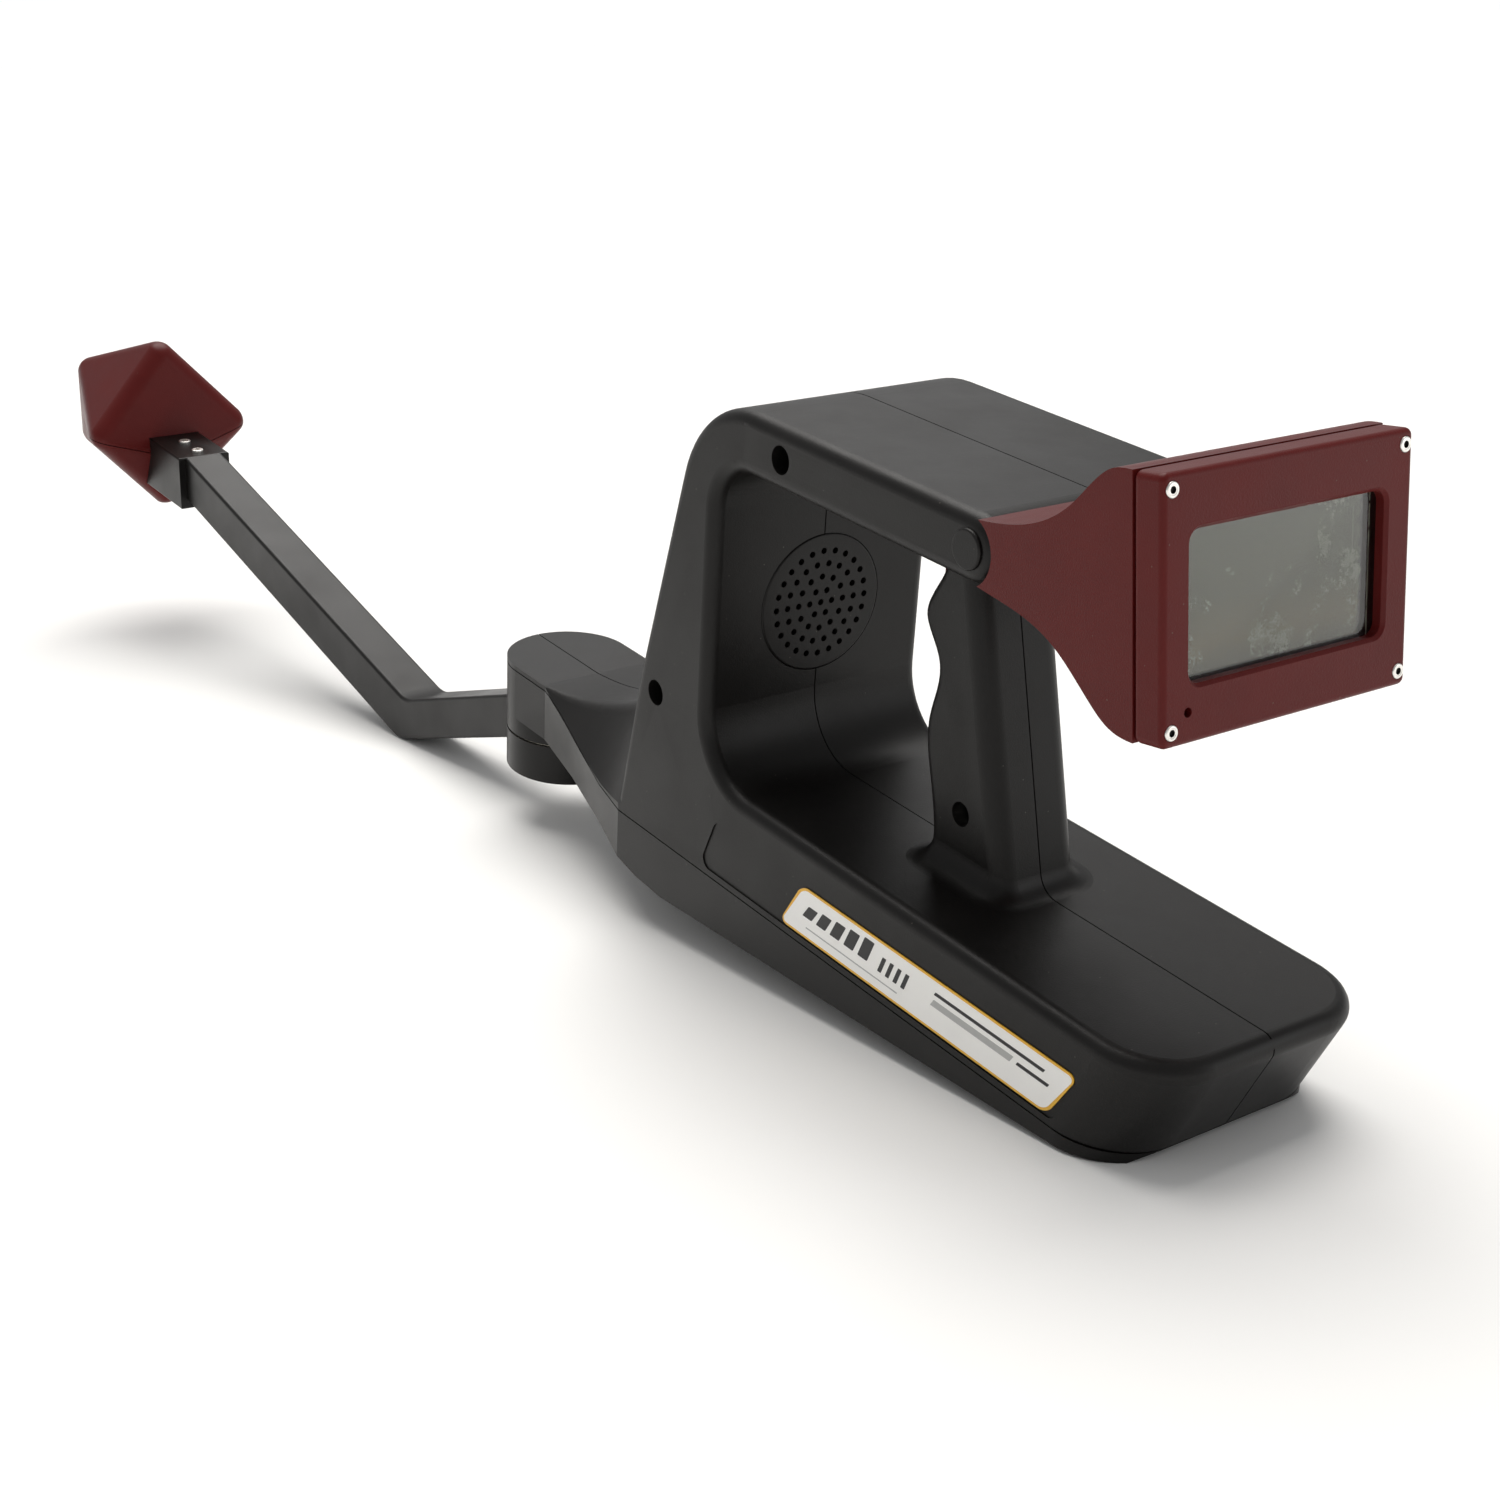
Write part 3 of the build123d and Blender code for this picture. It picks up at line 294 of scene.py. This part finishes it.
# Bare machined steel: darker and duller than the plated screws.
inner_steel = zinc_steel("bright_steel", "#8f8e8b", 0.3)
window_clear = clear_window("clear_polycarbonate")
lcd_face = lcd_glass("reflective_lcd")
# Epoxy solder mask over copper: deep green, satin.
board_green = plain("soldermask_green", "#0e3a22", "#16502f", 0.4, 8.3333)
# Shrink sleeve on the cells: near black with a blue cast, fairly glossy.
cell_jacket = plain("printed_cell_jacket", "#1c1c22", "#26262e", 0.35, 12.5)
# Moulded nylon without pigment: milky ivory, dull.
nylon = plain("natural_nylon", "#cfc9b8", "#dcd7c8", 0.5, 5.0)
# Printed polyester film: clean white, satin.
label_white = plain("printed_polyester_label", "#f1f0ec", "#f8f7f4", 0.35, 25.0)
# Screen ink on the film's border: warm amber, with the film's gloss.
label_amber = plain("amber_printed_border", "#e2a81f", "#edb93a", 0.35, 3.3333)
# Black screen ink: flatter than the film under it.
label_ink = plain("black_printing_ink", "#161516", "#201f20", 0.45, 3.3333)
# Grey screen ink: as flat as the black.
label_grey = plain("grey_printing_ink", "#a9a9a8", "#b5b5b3", 0.45, 3.3333)
# Painted shade in a screw's socket recess: black, matt.
socket_dark = plain("socket_recess_painted_shade", "#050505", "#0b0b0b", 0.6, 2.5)
# Extruded PVC cable jacket: black, half matt.
cable_pvc = plain("black_pvc_jacket", "#0c0c0c", "#161616", 0.5, 6.6667)
# Varnished copper wire: reddish brown metal, glossy.
copper = plain("enamelled_copper", "#8a3f1c", "#a5542a", 0.3, 2.5, metallic=1.0)
# Pressed and painted steel basket: black, half matt.
basket = plain("pressed_speaker_basket", "#101010", "#1b1b1b", 0.45, 11.111)
# Phenolic switch body: black, a little glossier than the basket.
switch_black = plain("phenolic_switch_body", "#0d0d0d", "#191919", 0.4, 10.0)

FINISHES = {
    "shell_abs": black_abs, "head_abs": maroon_abs, "window_pc": window_clear, "lcd": lcd_face,
    "pcb": board_green, "zinc_steel": screw_zinc, "steel": inner_steel, "cell": cell_jacket,
    "nylon": nylon, "label": label_white, "cable": cable_pvc, "copper": copper,
    "speaker_black": basket, "black_plain": switch_black,
}

for part in frame["record"]["subparts"]:
    cad_node = frame["nodes"][part["node"]]
    cad_node.data.materials.clear()
    cad_node.data.materials.append(FINISHES[part["material_slot"]])


# ---- modelling ----

def pick(piece, kind, test):
    """In edit mode, selects only the vertices, edges or faces that pass the test."""
    bpy.ops.mesh.select_mode(type=kind)
    bpy.ops.mesh.select_all(action="DESELECT")
    mesh = bmesh.from_edit_mesh(piece.data)
    for item in {"VERT": mesh.verts, "EDGE": mesh.edges, "FACE": mesh.faces}[kind]:
        item.select_set(bool(test(item)))
    mesh.select_flush_mode()
    bmesh.update_edit_mesh(piece.data)


def own_copy(piece, name):
    """A copy of a finished piece, with a mesh of its own."""
    twin = piece.copy()
    twin.data = piece.data.copy()
    twin.name = name
    bpy.context.collection.objects.link(twin)
    return twin


def settle_piece(piece, matrix, body):
    """Turns and moves a piece to its place, leaves its object at the origin, and has it ride."""
    bpy.ops.object.select_all(action="DESELECT")
    piece.select_set(True)
    bpy.context.view_layer.objects.active = piece
    piece.matrix_world = matrix
    bpy.ops.object.transform_apply(location=True, rotation=True, scale=True)
    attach(piece, body)


def frame_matrix(origin, x_axis, y_axis):
    z_axis = x_axis.cross(y_axis)
    return Matrix.Translation(origin) @ Matrix((x_axis, y_axis, z_axis)).transposed().to_4x4()


# ---- label on the left side ----

HULL_HALF_WIDTH = 50.0 * MM
LABEL_LENGTH = 155.0 * MM
LABEL_HEIGHT = 19.5 * MM
LABEL_SLANT = 11.5 * MM
LABEL_ROUND = 4.0 * MM
BORDER = 0.9 * MM
CORNER_STEPS = 6
INK_THICKNESS = 0.06 * MM
INK_OUTSIDE = 0.09 * MM
label_low, label_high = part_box("side_label")
LABEL_CENTRE = (label_low + label_high) / 2


def printed_plate(name, length, height, slant, radius, thickness, forward, up, outside, material):
    """A thin slanted plate with rounded corners, stuck on the left side. slant is how far its top
    edge is shifted to the rear, forward and up are its middle's place on the label, and outside is
    how far its face stands out from the hull's side."""
    bpy.ops.object.select_all(action="DESELECT")
    bpy.ops.mesh.primitive_plane_add(size=1.0, location=(0, 0, 0))
    piece = bpy.context.object
    piece.name = name
    bpy.ops.object.mode_set(mode="EDIT")
    bpy.ops.transform.resize(value=(length, height, 1.0))
    pick(piece, "VERT", lambda v: v.co.y > 0)
    bpy.ops.transform.translate(value=(slant, 0, 0))
    bpy.ops.mesh.select_all(action="SELECT")
    bpy.ops.transform.translate(value=(-slant / 2, 0, 0))
    if radius:
        bpy.ops.mesh.bevel(offset=radius, offset_type="OFFSET", segments=CORNER_STEPS,
                           affect="VERTICES")
    bpy.ops.mesh.select_all(action="SELECT")
    bpy.ops.mesh.extrude_region_move(TRANSFORM_OT_translate={"value": (0, 0, thickness)})
    bpy.ops.mesh.select_all(action="SELECT")
    bpy.ops.mesh.remove_doubles(threshold=1e-7)
    bpy.ops.mesh.normals_make_consistent(inside=False)
    bpy.ops.object.mode_set(mode="OBJECT")
    piece.data.materials.append(material)
    place = LABEL_CENTRE + HULL_FORWARD * forward + HULL_UP * up
    place.x = -(HULL_HALF_WIDTH + outside - thickness)
    settle_piece(piece, frame_matrix(place, -HULL_FORWARD, HULL_UP), "hull")
    return piece


def printed_mark(name, length, height, slant, radius, forward, up, ink):
    """A mark printed on the label's panel, with its sizes and its place in mm."""
    return printed_plate(name, length * MM, height * MM, slant * MM, radius * MM, INK_THICKNESS,
                         forward * MM, up * MM, INK_OUTSIDE, ink)


side_length = LABEL_LENGTH - LABEL_SLANT
sheet = printed_plate("label_sheet", side_length, LABEL_HEIGHT, LABEL_SLANT, LABEL_ROUND,
                      thickness=0.4 * MM, forward=0, up=0, outside=0.0, material=label_amber)
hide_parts("side_label")
printed_plate("label_panel", side_length - 2.4 * BORDER, LABEL_HEIGHT - 2 * BORDER, LABEL_SLANT,
              LABEL_ROUND - BORDER, thickness=0.1 * MM, forward=0, up=0, outside=0.05 * MM,
              material=label_white)

# Five blocks that grow and climb towards the rear, then four equal ticks.
for index in range(5):
    printed_mark("label_block_%d" % (index + 1), 5.4, 5.0 + 0.9 * index, 3.4, 0.5,
                 60 - 8.0 * index, 1.0 + 0.45 * index, label_ink)
TICK_STEP = 4.2 * MM
first_tick = printed_mark("label_tick_1", 2.0, 6.4, 2.4, 0.3, 19, 1.0, label_ink)
for index in range(1, 4):
    settle_piece(own_copy(first_tick, "label_tick_%d" % (index + 1)),
                 Matrix.Translation(HULL_FORWARD * (-TICK_STEP * index)), "hull")
printed_mark("label_rule_long", 52, 0.5, 0.3, 0, 36, -5.4, label_grey)
printed_mark("label_rule_top", 54, 1.3, 0.8, 0.2, -36, 4.4, label_ink)
printed_mark("label_bar", 40, 2.6, 1.6, 0.2, -28, 0.6, label_grey)
printed_mark("label_rule_end", 15, 1.3, 0.8, 0.2, -58, 0.4, label_ink)


# ---- the display's four screws ----

SCREW_RADIUS = 2.4 * MM
SCREW_HEIGHT = 1.5 * MM
SCREW_SINK = 0.35 * MM        # how far the head's middle lies behind the bezel's face
SCREW_SIDES = 36
RIM_ROUND = 0.48 * MM
DISH_LEDGE = 0.384 * MM       # the flat ring inside the rounded rim
DISH_WALL = 0.144 * MM
DISH_DEPTH = 0.12 * MM
DISH_FLOOR = 0.288 * MM       # the ring between the dish's wall and the socket
SOCKET_DEPTH = 0.9 * MM
SHADE_REACH = 1.2 * MM          # faces nearer the middle than this, and lower than the dish,
SHADE_BELOW = 0.192 * MM        # are the socket's own
SMOOTH_ANGLE = math.radians(35)
ON_TOP = 1e-6


def socket_screw(name):
    """A turned screw head about the origin, facing up: a rounded rim, a shallow dish, and a round
    socket painted black inside as shade."""
    bpy.ops.object.select_all(action="DESELECT")
    bpy.ops.mesh.primitive_cylinder_add(vertices=SCREW_SIDES, radius=SCREW_RADIUS,
                                        depth=SCREW_HEIGHT, location=(0, 0, 0))
    piece = bpy.context.object
    piece.name = name
    bpy.ops.object.mode_set(mode="EDIT")
    top = SCREW_HEIGHT / 2
    pick(piece, "EDGE", lambda e: all(v.co.z > top - ON_TOP for v in e.verts))
    bpy.ops.mesh.bevel(offset=RIM_ROUND, segments=4, affect="EDGES")
    pick(piece, "FACE",
         lambda f: f.normal.z > 0.99 and f.calc_center_median().z > top - ON_TOP)
    bpy.ops.mesh.inset(thickness=DISH_LEDGE)
    bpy.ops.mesh.inset(thickness=DISH_WALL, depth=-DISH_DEPTH)
    bpy.ops.mesh.inset(thickness=DISH_FLOOR)
    bpy.ops.mesh.extrude_region_move(TRANSFORM_OT_translate={"value": (0, 0, -SOCKET_DEPTH)})
    bpy.ops.object.mode_set(mode="OBJECT")
    piece.data.materials.append(screw_zinc)
    piece.data.materials.append(socket_dark)
    # The socket's faces take the black material, painted shade in the recess.
    for face in piece.data.polygons:
        if face.center.xy.length < SHADE_REACH and face.center.z < top - SHADE_BELOW:
            face.material_index = 1
    bpy.ops.object.shade_smooth_by_angle(angle=SMOOTH_ANGLE)
    return piece


BEZEL_DEPTH = 11.5 * MM
bezel_low, bezel_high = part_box("display_bezel")
face_centre = (bezel_low + bezel_high) / 2 + FACE_OUT * (BEZEL_DEPTH / 2)
screw_low, screw_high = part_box("bezel_screws")
screw_across = screw_high.x - SCREW_RADIUS
screw_rise = (screw_high.z - screw_low.z) / 2 - SCREW_RADIUS

display_screws = [socket_screw("display_screw_1")]
for number in (2, 3, 4):
    display_screws.append(own_copy(display_screws[0], "display_screw_%d" % number))
for screw, side, level in zip(display_screws, (-1, 1, 1, -1), (1, 1, -1, -1)):
    spot = face_centre + Vector((side * screw_across, 0, 0))
    spot = spot + FACE_UP * (level * screw_rise) - FACE_OUT * SCREW_SINK
    side_axis = Vector((1, 0, 0))
    settle_piece(screw, frame_matrix(spot, side_axis, FACE_OUT.cross(side_axis)),
                 "head")
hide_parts("bezel_screws")


# ---- floor, light, camera ----

FLOOR_SIZE = 120.0
bpy.ops.object.select_all(action="DESELECT")
bpy.ops.mesh.primitive_plane_add(size=FLOOR_SIZE, location=(0, 0, 0))
floor = bpy.context.object
floor.name = "studio_floor"
floor_paint, _, floor_shader, _ = new_material("pale_paper_floor")
floor_shader.inputs["Base Color"].default_value = srgb("#f2f2f1")
floor_shader.inputs["Roughness"].default_value = 0.9
floor.data.materials.append(floor_paint)

# White all round at floor height, so that the floor runs into it, and dimmer overhead.
world = bpy.data.worlds.new("studio_white")
bpy.context.scene.world = world
world.use_nodes = True
sky = world.node_tree
backdrop = sky.nodes["Background"]
sky_coords = add_node(sky, "ShaderNodeTexCoord")
heights = add_node(sky, "ShaderNodeSeparateXYZ", {}, {0: sky_coords.outputs["Generated"]})
glow = add_node(sky, "ShaderNodeMapRange",
                {"From Min": 0.02, "From Max": 0.08, "To Min": 1.02, "To Max": 0.42},
                {"Value": heights.outputs["Z"]})
backdrop.inputs["Color"].default_value = srgb("#ffffff")
sky.links.new(glow.outputs["Result"], backdrop.inputs["Strength"])


def hang_light(data, place, direction):
    """Puts a light in the scene, shining along a direction."""
    lamp = bpy.data.objects.new(data.name, data)
    bpy.context.scene.collection.objects.link(lamp)
    lamp.location = place
    lamp.rotation_mode = "QUATERNION"
    lamp.rotation_quaternion = direction.to_track_quat("-Z", "Y")


# A wide soft panel overhead, as a sun so that the floor is lit evenly to its far end.
sun_data = bpy.data.lights.new("overhead_panel", "SUN")
sun_data.energy = 2.9
sun_data.angle = math.radians(50)
sun_data.color = (1.0, 0.975, 0.94)
hang_light(sun_data, (0, 0, 0), Vector((-0.18, -0.35, -1.0)))

# A low card behind the rear end on the right, and a box high beyond the nose on the right.
for name, size, power, place, target in (
        ("rear_right_card", (0.6, 0.8), 2.2, (1.0, -1.5, 0.45), (0.0, -0.45, 0.08)),
        ("back_box", (1.4, 0.9), 2.0, (0.9, 1.3, 1.25), (0.0, -0.15, 0.12))):
    lamp_data = bpy.data.lights.new(name, "AREA")
    lamp_data.shape = "RECTANGLE"
    lamp_data.size, lamp_data.size_y = size
    lamp_data.energy = power
    hang_light(lamp_data, place, Vector(target) - Vector(place))

CAMERA_PLACE = (-0.48067, -0.91354, 0.33789)
CAMERA_RIGHT = Vector((0.8193, -0.5723, -0.0357)).normalized()
CAMERA_BACK = Vector((-0.5363, -0.7869, 0.3053)).normalized()
CAMERA_UP = CAMERA_BACK.cross(CAMERA_RIGHT)
camera_data = bpy.data.cameras.new("studio_camera")
camera_data.sensor_width = 36.0
camera_data.lens = 54.0
camera_data.clip_start = 0.02
camera_data.clip_end = 300.0
camera = bpy.data.objects.new("studio_camera", camera_data)
bpy.context.scene.collection.objects.link(camera)
camera_turn = Matrix((CAMERA_RIGHT, CAMERA_UP, CAMERA_BACK)).transposed().to_4x4()
camera.matrix_world = Matrix.Translation(CAMERA_PLACE) @ camera_turn
bpy.context.scene.camera = camera

# The colours above are meant for the plain transform, which a fresh Blender doesn't start with.
bpy.context.scene.view_settings.view_transform = "Standard"
